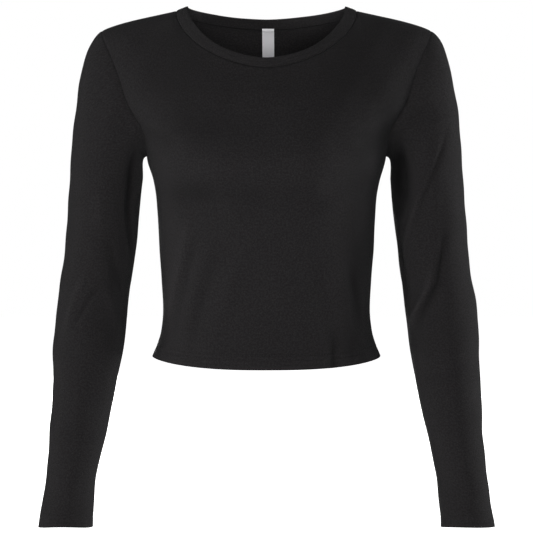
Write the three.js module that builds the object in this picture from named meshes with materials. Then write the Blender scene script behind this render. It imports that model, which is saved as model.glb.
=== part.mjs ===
// Long-sleeved crop top in fitted black jersey, filled out as it is worn, with nobody inside.
// Millimetres. +Z is up, the front faces -Y and the wearer's left side is at +X.
// The origin is midway between the two neck points, where the top rests on the shoulders.

import * as THREE from 'three';

const { clamp, degToRad, lerp, smoothstep } = THREE.MathUtils;

// Cloth
const clothThickness = 1.5;
const hemThickness = 2.6; // the turned-up hem and cuffs are two layers
const hemDepth = 18;
const seamGap = 0.3;

// Neckline, at the seam between the body and the neckband
const neckHalfWidth = 111.8;
const frontNeck = { z: -78, curve: 1.85 }; // the curve is an exponent: 2 is an ellipse, 1 a straight line
const backNeck = { z: -27, curve: 1.6 };

// Neckband, a folded strip sewn all round
const bandWidth = 14.5;
const bandProud = 0.45; // how far it stands out from the body's surface
const bandThickness = 2.5;
const bandCrown = 0.2; // how far its middle is rounded out
const bandEdge = 1.4; // width of its rounded edges
const bandStand = degToRad(8); // it stands up from the slope of the body

// Blank woven label, hung inside the back neck
const labelWidth = 15;
const labelLength = 40;
const labelThickness = 1;
const labelShift = 2;
const labelDrop = 0.8; // below the seam
const labelClearance = 0.5;

// Body
const armpitZ = -187;
const frontHemZ = -443;
const backHemZ = -441;
const sideHemZ = -435;
const hemCurve = 2.5; // exponent of the hem's rise towards the side seams
const sectionPower = 2.4; // the body's sections are a little squarer than an ellipse
const shoulderRoundness = 75; // below the shoulder line the cloth turns down over this height
const bust = { x: 66, z: -196, across: 46, high: 44, out: 4.5 };

// Above the armpit, the form under the cloth widens into the arm
const armSpread = { rate: 0.5, ease: 20, limit: 60 };

// Sleeve cap: how the cloth leaves the armhole seam and arrives at the first full section
const capSpring = 12;
const capReach = 0.45;
const capForward = 0.25;
const capFall = { top: 0.25, front: 0.3 };
const capArrival = new THREE.Vector3(0.06, 0.02, -1);

// Grid
const neckColumns = 10;
const neckSpacing = 1.3; // draws the columns together at the shoulder, where the neckline turns
const shoulderColumns = 5;
const hemRows = 1;
const bodyRows = 11;
const armholeRows = 11;
const edgeSpacing = 0.8; // draws the rows together at the armpit and at the shoulder line
const centreDrop = 45; // the row that starts at the armpit lies this much lower at the centre
const capRows = 9;
const armRows = 17;
const labelRows = 8;
const labelColumns = 3;

// Half width at the side seams, by height
const torsoWidth = [
  { z: -448, half: 147.0 },
  { z: -436, half: 143.0 },
  { z: -422, half: 137.2 },
  { z: -404, half: 131.8 },
  { z: -378, half: 129.2 },
  { z: -341, half: 130.8 },
  { z: -303, half: 133.4 },
  { z: -266, half: 135.3 },
  { z: -241, half: 136.7 },
  { z: -216, half: 140.6 },
  { z: -187, half: 148.6 },
  { z: -150, half: 152.0 },
];

// How far the centre of the front and back stand out from the side seams, by height
const torsoDepth = [
  { z: -448, front: 99, back: 93 },
  { z: -422, front: 96, back: 86 },
  { z: -404, front: 93, back: 80 },
  { z: -378, front: 91, back: 74 },
  { z: -341, front: 92, back: 72 },
  { z: -303, front: 96, back: 75 },
  { z: -266, front: 103, back: 82 },
  { z: -241, front: 109, back: 87 },
  { z: -216, front: 114, back: 92 },
  { z: -187, front: 115, back: 97 },
  { z: -150, front: 108, back: 100 },
  { z: -115, front: 97, back: 98 },
  { z: -78, front: 78, back: 90 },
  { z: -50, front: 66, back: 80 },
  { z: -20, front: 55, back: 68 },
  { z: 20, front: 46, back: 52 },
];

// Where the armhole seam lies across the front and across the back, by height
const armhole = [
  { z: -187, front: 148.6, back: 148.6 },
  { z: -165, front: 149.5, back: 152.0 },
  { z: -150, front: 153.5, back: 158.5 },
  { z: -135, front: 162.5, back: 167.0 },
  { z: -115, front: 172.5, back: 176.0 },
  { z: -90, front: 180.5, back: 183.5 },
  { z: -60, front: 192.5, back: 194.0 },
  { z: -42, front: 200.8, back: 201.0 },
  { z: -31, front: 204.0, back: 204.0 },
  { z: 20, front: 204.0, back: 204.0 },
];

// Height of the shoulder line, from the middle of the neck outwards
const shoulder = [
  { x: -60, z: 6.0 },
  { x: 0, z: 15.0 },
  { x: 60, z: 6.0 },
  { x: 111.8, z: -6.4 },
  { x: 142.5, z: -13.1 },
  { x: 165, z: -18.1 },
  { x: 183.5, z: -23.1 },
  { x: 197, z: -27.7 },
  { x: 204, z: -31.0 },
];
const shoulderPointX = shoulder[shoulder.length - 1].x;

// Sleeve sections from below the armpit to the cuff: centre, half width and half depth
const arm = [
  { z: -216, x: 200.1, y: 8, half: 45.7, depth: 52 },
  { z: -266, x: 204.8, y: 10, half: 45.0, depth: 50 },
  { z: -317, x: 209.8, y: 10, half: 44.2, depth: 48 },
  { z: -367, x: 217.6, y: 7, half: 44.7, depth: 46 },
  { z: -416, x: 222.0, y: 0, half: 44.2, depth: 45 },
  { z: -466, x: 227.0, y: -9, half: 40.3, depth: 42 },
  { z: -515, x: 232.9, y: -18, half: 36.3, depth: 38 },
  { z: -564, x: 240.2, y: -26, half: 32.6, depth: 34 },
  { z: -588, x: 243.7, y: -30, half: 31.3, depth: 32 },
  { z: -613, x: 246.4, y: -34, half: 31.9, depth: 31 },
  { z: -637, x: 249.4, y: -38, half: 33.4, depth: 31 },
  { z: -645, x: 249.9, y: -39, half: 33.9, depth: 31 },
];
const firstArmZ = arm[0].z;
const cuffZ = arm[arm.length - 1].z;
const slopeSpan = 8; // the arm's slope is taken over this height, up and down

// Folds in the body, by place across and height. A negative depth is a trough.
const frontFolds = [
  { x0: -50, z0: -305, x1: -76, z1: -395, width: 12, depth: -2.4 },
  { x0: -94, z0: -245, x1: -116, z1: -345, width: 12, depth: 2.0 },
  { x0: -30, z0: -325, x1: -48, z1: -410, width: 13, depth: 1.4 },
  { x0: 68, z0: -335, x1: 82, z1: -444, width: 11, depth: -2.6 },
  { x0: 100, z0: -320, x1: 110, z1: -420, width: 10, depth: -2.0 },
  { x0: 46, z0: -310, x1: 54, z1: -400, width: 13, depth: 1.4 },
];
const backFolds = [
  { x0: -70, z0: -330, x1: -30, z1: -352, width: 13, depth: -2.6 },
  { x0: 66, z0: -345, x1: 22, z1: -366, width: 13, depth: -2.4 },
  { x0: -98, z0: -362, x1: -52, z1: -384, width: 12, depth: 2.0 },
  { x0: 120, z0: -160, x1: 96, z1: -235, width: 13, depth: -2.2 },
  { x0: -122, z0: -158, x1: -98, z1: -230, width: 13, depth: -2.4 },
];

// Folds in the sleeves, by degrees round from the outer side, over the front, and height
const leftSleeveFolds = [
  { a0: 72, z0: -176, a1: 138, z1: -279, width: 12, depth: -2.6 },
  { a0: 80, z0: -302, a1: 145, z1: -395, width: 9, depth: -4.2 },
  { a0: 108, z0: -296, a1: 160, z1: -366, width: 11, depth: 2.2 },
  { a0: 205, z0: -330, a1: 262, z1: -352, width: 10, depth: -3.4 },
  { a0: 196, z0: -372, a1: 256, z1: -384, width: 10, depth: -3.0 },
  { a0: 120, z0: -548, a1: 190, z1: -572, width: 10, depth: -1.8 },
];
const rightSleeveFolds = [
  { a0: 62, z0: -328, a1: 47, z1: -384, width: 11, depth: 2.4 },
  { a0: 108, z0: -300, a1: 142, z1: -362, width: 10, depth: -3.8 },
  { a0: 148, z0: -386, a1: 104, z1: -424, width: 12, depth: -3.0 },
  { a0: 90, z0: -350, a1: 74, z1: -392, width: 10, depth: -2.2 },
  { a0: 204, z0: -338, a1: 258, z1: -350, width: 10, depth: -3.4 },
  { a0: 198, z0: -378, a1: 250, z1: -392, width: 10, depth: -2.8 },
];
const foldRadius = 44; // of the sleeve, to turn degrees round it into millimetres
const foldEnd = 0.25; // a fold fades over this share of its length at each end
const foldFreeSide = 0.2; // and folds of the body fade over this share of its half width at the sides
const foldFreeCap = { from: 1, to: 4 }; // and those of a sleeve over these rows below the armhole

// Colours and finish
const jersey = new THREE.MeshStandardMaterial({ color: 0x232224, roughness: 0.85, metalness: 0 });
const neckJersey = new THREE.MeshStandardMaterial({ color: 0x2a292b, roughness: 0.8, metalness: 0 });
const satin = new THREE.MeshStandardMaterial({ color: 0xd9d7da, roughness: 0.55, metalness: 0 });

// A smooth curve through one column of a table, which never overshoots its rows
function curveThrough(rows, along, column) {
  const steps = rows.slice(1).map((row, i) => (row[column] - rows[i][column]) / (row[along] - rows[i][along]));
  const slopes = rows.map((row, i) => {
    if (i === 0) return steps[0];
    if (i === rows.length - 1) return steps[i - 1];
    return steps[i - 1] * steps[i] > 0 ? 2 / (1 / steps[i - 1] + 1 / steps[i]) : 0;
  });
  const rising = rows[1][along] > rows[0][along];
  return (place) => {
    const next = rows.findIndex((row) => (rising ? row[along] > place : row[along] < place));
    const i = clamp(next < 0 ? rows.length - 1 : next, 1, rows.length - 1) - 1;
    const span = rows[i + 1][along] - rows[i][along];
    const t = clamp((place - rows[i][along]) / span, 0, 1);
    return (
      rows[i][column] * (1 + 2 * t) * (1 - t) ** 2 +
      slopes[i] * span * t * (1 - t) ** 2 +
      rows[i + 1][column] * t * t * (3 - 2 * t) +
      slopes[i + 1] * span * t * t * (t - 1)
    );
  };
}

const halfAt = curveThrough(torsoWidth, 'z', 'half');
const shoulderAt = curveThrough(shoulder, 'x', 'z');
const depthAt = { front: curveThrough(torsoDepth, 'z', 'front'), back: curveThrough(torsoDepth, 'z', 'back') };
const armholeAt = { front: curveThrough(armhole, 'z', 'front'), back: curveThrough(armhole, 'z', 'back') };
const facing = { front: -1, back: 1 };

// Half width that a panel reaches at a height, and half width of the form under it
function edgeAt(side, z) {
  return z < armpitZ ? halfAt(z) : armholeAt[side](z);
}
function formHalfAt(side, z) {
  const above = Math.max(0, z - armpitZ);
  const spread = (armSpread.rate * above * above) / (above + armSpread.ease) / (1 + above / armSpread.limit);
  return edgeAt(side, z) + spread;
}

function bump(distance, width) {
  return Math.exp(-((distance / width) ** 2));
}

// How far the body's surface stands out in front of or behind the side seams
function bodyDepth(side, x, z) {
  const across = clamp(Math.abs(x) / formHalfAt(side, z), 0, 1);
  const round = (1 - across ** sectionPower) ** (1 / sectionPower);
  const below = clamp((shoulderAt(Math.abs(x)) - z) / shoulderRoundness, 0, 1);
  const turned = Math.sqrt(1 - (1 - below) ** 2);
  const full = bust.out * bump(Math.abs(x) - bust.x, bust.across) * bump(z - bust.z, bust.high);
  return (depthAt[side](z) * round + (side === 'front' ? full * Math.sqrt(round) : 0)) * turned;
}

// Half a panel runs from u = 0 at the centre to u = 1 at the side
const columns = neckColumns + shoulderColumns;
const neckShare = neckColumns / columns;

// Its top edge follows the neckline, then the shoulder line to the shoulder point
function topEdge(side, u) {
  if (u >= neckShare) {
    const x = lerp(neckHalfWidth, shoulderPointX, (u - neckShare) / (1 - neckShare));
    return { x, z: shoulderAt(x) };
  }
  const neck = side === 'front' ? frontNeck : backNeck;
  const turn = (1 - (1 - u / neckShare) ** neckSpacing) * (Math.PI / 2);
  return {
    x: neckHalfWidth * Math.sin(turn) ** (2 / neck.curve),
    z: lerp(shoulderAt(neckHalfWidth), neck.z, Math.cos(turn) ** (2 / neck.curve)),
  };
}

function hemZ(side, u) {
  return lerp(side === 'front' ? frontHemZ : backHemZ, sideHemZ, sectionShare(u) ** hemCurve);
}

// Place across on the body's section, as a share of its half width
function sectionShare(u) {
  return Math.sin((u * Math.PI) / 2) ** (2 / sectionPower);
}

// A panel's rows are counted from the hem: hem, body up to the armpit, then up beside the armhole
const armpitRow = hemRows + bodyRows;
const topRow = armpitRow + armholeRows;

function bodyPoint(side, u, row) {
  const armpitRowZ = armpitZ - centreDrop * (1 - u ** 3);
  if (row <= armpitRow) {
    const hem = hemZ(side, u);
    const aboveHem = lerp(hem + hemDepth, armpitRowZ, (row - hemRows) / bodyRows);
    const z = row < hemRows ? hem + (hemDepth * row) / hemRows : aboveHem;
    const x = halfAt(z) * sectionShare(u);
    return new THREE.Vector3(x, facing[side] * bodyDepth(side, x, z), z);
  }
  const v = (row - armpitRow) / armholeRows;
  const fromArmpit = v ** (1 + edgeSpacing * u ** 6);
  const fromTop = (1 - v) ** (1 + edgeSpacing * smoothstep(u, 0.3 * neckShare, neckShare));
  const rise = fromArmpit / (fromArmpit + fromTop);
  const top = topEdge(side, u);
  const z = lerp(armpitRowZ, top.z, rise);
  const x = lerp(sectionShare(u), top.x / edgeAt(side, top.z), rise) * edgeAt(side, z);
  const onShoulderLine = row === topRow && u >= neckShare;
  return new THREE.Vector3(x, onShoulderLine ? 0 : facing[side] * bodyDepth(side, x, z), z);
}

// A grid is a list of rows of points. Across and then along it, its normal points out of the cloth.
function gridNormals(grid, closed) {
  const last = grid.length - 1;
  const width = grid[0].length;
  return grid.map((row, i) =>
    row.map((_, j) => {
      const left = closed ? (j + width - 1) % width : Math.max(j - 1, 0);
      const right = closed ? (j + 1) % width : Math.min(j + 1, width - 1);
      const across = grid[i][right].clone().sub(grid[i][left]);
      const along = grid[Math.min(i + 1, last)][j].clone().sub(grid[Math.max(i - 1, 0)][j]);
      return across.cross(along).normalize();
    }),
  );
}

// How far the folds move a point, from its distance to each fold's line
function foldDepth(folds, across, along) {
  return folds.reduce((total, fold) => {
    const dx = fold.x1 - fold.x0;
    const dz = fold.z1 - fold.z0;
    const length = Math.hypot(dx, dz);
    const share = ((across - fold.x0) * dx + (along - fold.z0) * dz) / length ** 2;
    const off = ((across - fold.x0) * dz - (along - fold.z0) * dx) / length;
    const intoEnd = Math.max(0, Math.abs(share - 0.5) - (0.5 - foldEnd));
    return total + fold.depth * bump(off, fold.width) * bump(intoEnd, foldEnd);
  }, 0);
}

function pushOut(grid, normals, depthOf) {
  return grid.map((row, i) => row.map((p, j) => p.clone().addScaledVector(normals[i][j], depthOf(p, i, j))));
}

// A whole panel, with the wearer's left at the last column of the front and the first of the back
const lastColumn = 2 * columns;

function bodyGrid(side) {
  const order = side === 'front' ? 1 : -1;
  const plain = Array.from({ length: topRow + 1 }, (_, row) =>
    Array.from({ length: lastColumn + 1 }, (_, j) => {
      const across = order * (j - columns);
      const p = bodyPoint(side, Math.abs(across) / columns, row);
      return across < 0 ? p.setX(-p.x) : p;
    }),
  );
  const folds = side === 'front' ? frontFolds : backFolds;
  return pushOut(plain, gridNormals(plain, false), (p, i, j) => {
    const fromSide = Math.min(j, lastColumn - j) / columns;
    return foldDepth(folds, p.x, p.z) * smoothstep(fromSide, 0, foldFreeSide);
  });
}

// Along its top edge, a panel's normals come from the form itself
function topNormal(side, p, onShoulder) {
  const x = Math.abs(p.x);
  const near = 0.5;
  if (onShoulder) {
    const slope = (shoulderAt(x + near) - shoulderAt(x - near)) / (2 * near);
    return new THREE.Vector3(-slope * Math.sign(p.x), 0, 1).normalize();
  }
  const acrossSlope = (bodyDepth(side, x + near, p.z) - bodyDepth(side, x - near, p.z)) / (2 * near);
  const upSlope = (bodyDepth(side, x, p.z + near) - bodyDepth(side, x, p.z - near)) / (2 * near);
  return new THREE.Vector3(-acrossSlope * Math.sign(p.x), facing[side], -upSlope).normalize();
}

const bodyGrids = { front: bodyGrid('front'), back: bodyGrid('back') };
const bodyNormals = {
  front: gridNormals(bodyGrids.front, false),
  back: gridNormals(bodyGrids.back, false),
};
['front', 'back'].forEach((side) => {
  bodyNormals[side][topRow] = bodyGrids[side][topRow].map((p, j) =>
    topNormal(side, p, Math.min(j, lastColumn - j) <= shoulderColumns),
  );
});

// Places of a panel on the side and shoulder seams. There the front and back share one normal.
const jointSeams = [];
for (let row = 0; row <= armpitRow; row += 1) jointSeams.push({ row, column: 0 }, { row, column: lastColumn });
for (let column = 0; column <= shoulderColumns; column += 1) {
  jointSeams.push({ row: topRow, column }, { row: topRow, column: lastColumn - column });
}
jointSeams.forEach(({ row, column }) => {
  const shared = bodyNormals.front[row][column].clone().add(bodyNormals.back[row][lastColumn - column]);
  shared.setY(0).normalize();
  bodyNormals.front[row][column].copy(shared);
  bodyNormals.back[row][lastColumn - column].copy(shared);
});

// Follows a closed seam of the body, and adds where each place lies, its normal and the seam's run
function followSeam(places) {
  places.forEach((s) => {
    s.place = bodyGrids[s.side][s.row][s.column];
    s.normal = bodyNormals[s.side][s.row][s.column];
  });
  places.forEach((s, j) => {
    const before = places[(j + places.length - 1) % places.length].place;
    const after = places[(j + 1) % places.length].place;
    s.along = after.clone().sub(before).normalize();
  });
  return places;
}

// The armhole seam at the wearer's left: from the shoulder point, down the front and up the back
function armholeSeam() {
  const places = [];
  for (let row = topRow; row > armpitRow; row -= 1) places.push({ side: 'front', row, column: lastColumn });
  for (let row = armpitRow; row < topRow; row += 1) places.push({ side: 'back', row, column: 0 });
  return followSeam(places);
}

// The neck seam: along the front from the wearer's right to left, then back along the back
function neckSeam() {
  const places = [];
  for (let j = -neckColumns; j <= neckColumns; j += 1) {
    places.push({ side: 'front', row: topRow, column: columns + j });
  }
  for (let j = 1 - neckColumns; j < neckColumns; j += 1) {
    places.push({ side: 'back', row: topRow, column: columns + j });
  }
  return followSeam(places);
}

const seamAtArmhole = armholeSeam();
const around = seamAtArmhole.length;
const armAt = Object.fromEntries(['x', 'y', 'half', 'depth'].map((key) => [key, curveThrough(arm, 'z', key)]));

// A sleeve's points are counted round from its outer side over the front. Its sections lie square to
// the arm as seen from the side.
function armPoint(j, z) {
  const angle = (2 * Math.PI * j) / around;
  const slope = (armAt.y(z + slopeSpan) - armAt.y(z - slopeSpan)) / (2 * slopeSpan);
  const y = -armAt.depth(z) * Math.sin(angle);
  return new THREE.Vector3(armAt.x(z) + armAt.half(z) * Math.cos(angle), armAt.y(z) + y, z - slope * y);
}

// The cap runs from the armhole seam to the first full section, each column on its own curve
function capPoint(j, t) {
  const angle = (2 * Math.PI * j) / around;
  const start = seamAtArmhole[j].place;
  const end = armPoint(j, firstArmZ);
  const reach = start.distanceTo(end);
  const fall = capFall.top * (1 + Math.cos(angle)) + capFall.front * Math.sin(angle) ** 2;
  const leave = new THREE.Vector3(1, -capForward * Math.sin(angle), -fall).setLength(capReach * reach + capSpring);
  return new THREE.Vector3()
    .addScaledVector(start, (1 + 2 * t) * (1 - t) ** 2)
    .addScaledVector(leave, t * (1 - t) ** 2)
    .addScaledVector(end, t * t * (3 - 2 * t))
    .addScaledVector(capArrival, reach * t * t * (t - 1));
}

function sleeveGrid(folds) {
  const rows = capRows + armRows;
  const plain = Array.from({ length: rows + 1 }, (_, i) =>
    Array.from({ length: around }, (_, j) => {
      if (i <= capRows) return capPoint(j, i / capRows);
      const aboveHem = lerp(firstArmZ, cuffZ + hemDepth, (i - capRows) / (armRows - 1));
      return armPoint(j, i === rows ? cuffZ : aboveHem);
    }),
  );
  const perDegree = degToRad(foldRadius);
  const flatFolds = folds.map((fold) => ({ ...fold, x0: fold.a0 * perDegree, x1: fold.a1 * perDegree }));
  return pushOut(plain, gridNormals(plain, true), (p, i, j) => {
    const across = ((360 * j) / around) * perDegree;
    return foldDepth(flatFolds, across, p.z) * smoothstep(i, foldFreeCap.from, foldFreeCap.to);
  });
}

// At the armhole the body and sleeve both end on a mitred face, half the gap to each side of it
const armholeMitres = (() => {
  const normals = gridNormals(sleeveGrid([]), true)[0];
  return seamAtArmhole.map((s, j) => {
    const intoBody = s.along.clone().cross(s.normal).normalize();
    const intoSleeve = normals[j].clone().cross(s.along).normalize();
    const between = s.normal.clone().add(normals[j]).normalize();
    const spread = Math.max(0.5, intoBody.distanceTo(intoSleeve) / 2);
    const inward = between.multiplyScalar(-clothThickness / Math.max(0.6, between.dot(normals[j])));
    return { intoBody, intoSleeve, inward, shift: seamGap / 2 / spread };
  });
})();

// A rim's faces meet those of the piece beside it, so each is cut from its higher inner corner
function rim(faces, points, outerA, outerB, innerB, innerA) {
  if (points[innerA].z > points[innerB].z) faces.push(innerA, outerA, outerB, innerA, outerB, innerB);
  else faces.push(innerB, innerA, outerA, innerB, outerA, outerB);
}

// Closes a wall between an outer and an inner grid. The rims join them along each open edge.
function wall(outer, inner, closed) {
  const height = outer.length;
  const width = outer[0].length;
  const points = [...outer.flat(), ...inner.flat()];
  const outside = (i, j) => i * width + (j % width);
  const inside = (i, j) => height * width + i * width + (j % width);
  const faces = [];
  const quad = (a, b, c, d) => faces.push(a, b, c, a, c, d);
  const spans = closed ? width : width - 1;
  for (let i = 0; i < height - 1; i += 1) {
    for (let j = 0; j < spans; j += 1) {
      quad(outside(i, j), outside(i, j + 1), outside(i + 1, j + 1), outside(i + 1, j));
      quad(inside(i, j), inside(i + 1, j), inside(i + 1, j + 1), inside(i, j + 1));
    }
  }
  const edge = (i, j, k, l) => rim(faces, points, outside(i, j), outside(k, l), inside(k, l), inside(i, j));
  const last = height - 1;
  for (let j = 0; j < spans; j += 1) {
    edge(0, j + 1, 0, j);
    edge(last, j, last, j + 1);
  }
  if (!closed) {
    for (let i = 0; i < last; i += 1) {
      edge(i, 0, i + 1, 0);
      edge(i + 1, width - 1, i, width - 1);
    }
  }
  return new THREE.BufferGeometry().setFromPoints(points).setIndex(faces);
}

function piece(name, geometry, material) {
  geometry.computeVertexNormals();
  const mesh = new THREE.Mesh(geometry, material);
  mesh.name = name;
  return mesh;
}

// Front and back, each with its turned-up hem
function bodyPanel(side) {
  const outer = bodyGrids[side].map((row) => row.map((p) => p.clone()));
  const inner = pushOut(outer, bodyNormals[side], (p, i) => (i < hemRows ? -hemThickness : -clothThickness));
  const halfGap = (facing[side] * seamGap) / 2;
  jointSeams.forEach(({ row, column }) => {
    outer[row][column].y = halfGap;
    inner[row][column].y = halfGap;
  });
  const column = side === 'front' ? lastColumn : 0;
  seamAtArmhole.forEach((s, j) => {
    const isCorner = s.row === topRow || s.row === armpitRow;
    if (s.side !== side && !isCorner) return;
    const { intoBody, inward, shift } = armholeMitres[j];
    const edge = outer[s.row][column].addScaledVector(intoBody, shift);
    const under = inner[s.row][column];
    under.copy(edge).add(inward);
    if (isCorner) {
      edge.y = halfGap;
      under.y = halfGap;
    }
    outer[s.row][lastColumn - column].set(-edge.x, edge.y, edge.z);
    inner[s.row][lastColumn - column].set(-under.x, under.y, under.z);
  });
  return wall(outer, inner, false);
}

// Sleeves, each with its turned-up cuff: hand is 1 for the wearer's left, at +X, and -1 for the other
function sleeve(hand, folds) {
  const outer = sleeveGrid(folds);
  const last = outer.length - 1;
  const inner = pushOut(outer, gridNormals(outer, true), (p, i) => (i === last ? -hemThickness : -clothThickness));
  armholeMitres.forEach(({ intoSleeve, inward, shift }, j) => {
    outer[0][j].addScaledVector(intoSleeve, shift);
    inner[0][j].copy(outer[0][j]).add(inward);
  });
  const place = (grid) =>
    grid.map((row) => {
      const placed = row.map((p) => p.setX(hand * p.x));
      return hand > 0 ? placed : placed.reverse();
    });
  return wall(place(outer), place(inner), true);
}

// Cross-section of the band: across its width from the seam, and out from the body's surface
const bandInside = bandProud - bandThickness;
const bandSection = [
  { across: seamGap, out: -clothThickness },
  { across: seamGap, out: 0 },
  { across: bandEdge, out: bandProud },
  { across: bandWidth / 2, out: bandProud + bandCrown },
  { across: bandWidth - bandEdge, out: bandProud },
  { across: bandWidth, out: bandProud - bandThickness / 2 },
  { across: bandWidth - bandEdge, out: bandInside },
  { across: bandWidth / 2, out: bandInside - bandCrown },
  { across: bandEdge, out: bandInside },
];

function neckband() {
  const rings = neckSeam().map((s) => {
    const upSlope = s.normal.clone().cross(s.along).normalize();
    return bandSection.map(({ across, out }) => {
      const stand = across > seamGap ? bandStand : 0;
      return s.place
        .clone()
        .addScaledVector(upSlope, across * Math.cos(stand))
        .addScaledVector(s.normal, out + across * Math.sin(stand));
    });
  });
  const points = rings.flat();
  const sides = bandSection.length;
  const faces = [];
  rings.forEach((_, j) => {
    const next = (j + 1) % rings.length;
    for (let k = 0; k < sides; k += 1) {
      const beside = (k + 1) % sides;
      rim(faces, points, next * sides + beside, j * sides + beside, j * sides + k, next * sides + k);
    }
  });
  return new THREE.BufferGeometry().setFromPoints(points).setIndex(faces);
}

// A point of the back panel's faces near the middle, moved into the top by an inset
function insideBack(x, z, inset) {
  const above = bodyGrids.back.findIndex((row) => row[columns].z > z);
  const lower = bodyGrids.back[above - 1];
  const upper = bodyGrids.back[above];
  const t = (z - lower[columns].z) / (upper[columns].z - lower[columns].z);
  const on = (column) => lower[column].clone().lerp(upper[column], t);
  const beside = on(columns - Math.sign(x));
  const normal = bodyNormals.back[above - 1][columns].clone().lerp(bodyNormals.back[above][columns], t);
  return on(columns).lerp(beside, x / beside.x).addScaledVector(normal.normalize(), -inset);
}

// The label hangs from the back neck seam. It is made from the back's own points, moved in.
function label() {
  const clear = clothThickness + labelClearance;
  const grid = (inset) =>
    Array.from({ length: labelRows + 1 }, (_, i) =>
      Array.from({ length: labelColumns + 1 }, (_, j) => {
        const down = labelLength * (1 - i / labelRows);
        const x = labelShift + labelWidth * (0.5 - j / labelColumns);
        return insideBack(x, backNeck.z - labelDrop - down, inset);
      }),
    );
  return wall(grid(clear), grid(clear + labelThickness), false);
}

const top = new THREE.Group();
top.add(
  piece('front', bodyPanel('front'), jersey),
  piece('back', bodyPanel('back'), jersey),
  piece('sleeve_left', sleeve(1, leftSleeveFolds), jersey),
  piece('sleeve_right', sleeve(-1, rightSleeveFolds), jersey),
  piece('neckband', neckband(), neckJersey),
  piece('label', label(), satin),
);

export default top;
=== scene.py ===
import math
from functools import partial

import bpy
import numpy as np
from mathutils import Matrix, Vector


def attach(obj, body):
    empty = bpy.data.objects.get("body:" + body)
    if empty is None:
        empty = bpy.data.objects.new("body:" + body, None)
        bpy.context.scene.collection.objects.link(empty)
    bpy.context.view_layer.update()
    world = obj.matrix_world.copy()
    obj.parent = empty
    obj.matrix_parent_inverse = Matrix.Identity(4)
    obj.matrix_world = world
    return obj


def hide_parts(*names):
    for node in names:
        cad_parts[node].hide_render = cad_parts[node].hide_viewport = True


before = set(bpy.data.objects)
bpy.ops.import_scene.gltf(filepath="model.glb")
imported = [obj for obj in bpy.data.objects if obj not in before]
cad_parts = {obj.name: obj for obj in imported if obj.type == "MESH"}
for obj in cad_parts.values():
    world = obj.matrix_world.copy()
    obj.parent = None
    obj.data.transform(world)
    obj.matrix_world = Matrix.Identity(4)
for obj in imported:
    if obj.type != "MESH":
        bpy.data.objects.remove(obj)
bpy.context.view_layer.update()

# A long-sleeved crop top in fitted black jersey, hollow and filled out as it is worn. Shapes are
# worked out in millimetres and become metres when a mesh is made. +Z is up, the front faces -Y and
# the garment's own left is at +X.

print("stage: camera")

camera = {"place": (0, -2.80, -0.12), "target": (0, 0, -0.324), "lens": 151.6957, "sensor": 36}


def addObject(name, data):
    obj = bpy.data.objects.new(name, data)
    bpy.context.scene.collection.objects.link(obj)
    return obj


def aimAt(obj, place, target):
    obj.location = place
    gaze = Vector(target) - Vector(place)
    obj.rotation_euler = gaze.to_track_quat("-Z", "Y").to_euler()


def makeCamera(values):
    data = bpy.data.cameras.new("camera")
    data.lens, data.sensor_width = values["lens"], values["sensor"]
    obj = addObject("camera", data)
    aimAt(obj, values["place"], values["target"])
    bpy.context.scene.camera = obj


makeCamera(camera)

# Form of the body. Heights are z, from the top of the shoulders down.
body = {
    "armpitZ": -187,
    "hemZ": {"front": -443, "back": -441},
    "sideHemZ": -435,
    "hemCurve": 2.5,
    "sectionPower": 2.4,
    "shoulderRoundness": 75,
    "centreDrop": 45,
    "hemDepth": 18,
    "neckHalfWidth": 111.8,
    "neckZ": {"front": -76.4, "back": -27},
    "neckCurve": {"front": 1.76, "back": 1.6},
    "neckShare": 10 / 15,  # of half a panel's width, the rest being shoulder seam
    "neckSpacing": 1.3,
    "edgeSpacing": 0.8,
    "bodyRows": 11,  # rows between the hem, which is row 0 to 1, and the armpit
    "armholeRows": 11,
}
bust = {"x": 66, "z": -196, "across": 46, "high": 44, "out": 4.5}
armSpread = {"rate": 0.5, "ease": 20, "limit": 60}

torsoWidth = {
    "z": (-448, -436, -422, -404, -378, -341, -303, -266, -241, -216, -187, -150),
    "half": (147.0, 143.0, 137.2, 131.8, 129.2, 130.8, 133.4, 135.3, 136.7, 140.6, 148.6, 152.0),
}
torsoDepth = {
    "z": (-448, -422, -404, -378, -341, -303, -266, -241, -216, -187, -150, -115, -78, -50, -20, 20),
    "front": (99, 96, 93, 91, 92, 96, 103, 109, 114, 115, 108, 97, 78, 66, 55, 46),
    "back": (93, 86, 80, 74, 72, 75, 82, 87, 92, 97, 100, 98, 90, 80, 68, 52),
}
armhole = {
    "z": (-187, -165, -150, -135, -115, -90, -60, -42, -31, 20),
    "front": (148.6, 149.5, 153.5, 162.5, 172.5, 180.5, 192.5, 200.8, 204.0, 204.0),
    "back": (148.6, 152.0, 158.5, 167.0, 176.0, 183.5, 194.0, 201.0, 204.0, 204.0),
}
shoulder = {
    "x": (-60, 0, 60, 111.8, 142.5, 165, 183.5, 197, 204),
    "z": (6.0, 15.0, 6.0, -6.4, -13.1, -18.1, -23.1, -27.7, -31.0),
}
arm = {
    "z": (-645, -637, -613, -588, -564, -515, -466, -416, -367, -317, -266, -216),
    "x": (249.9, 249.4, 246.4, 243.7, 240.2, 232.9, 227.0, 222.0, 217.6, 209.8, 204.8, 200.1),
    "y": (-39, -38, -34, -30, -26, -18, -9, 0, 7, 10, 10, 8),
    "half": (33.9, 33.4, 31.9, 31.3, 32.6, 36.3, 40.3, 44.2, 44.7, 44.2, 45.0, 45.7),
    "depth": (31, 31, 31, 32, 34, 38, 42, 45, 46, 48, 50, 52),
}
cap = {"spring": 12, "reach": 0.45, "forward": 0.25, "fallTop": 0.25, "fallFront": 0.3}
capArrival = np.array((0.06, 0.02, -1))


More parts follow.
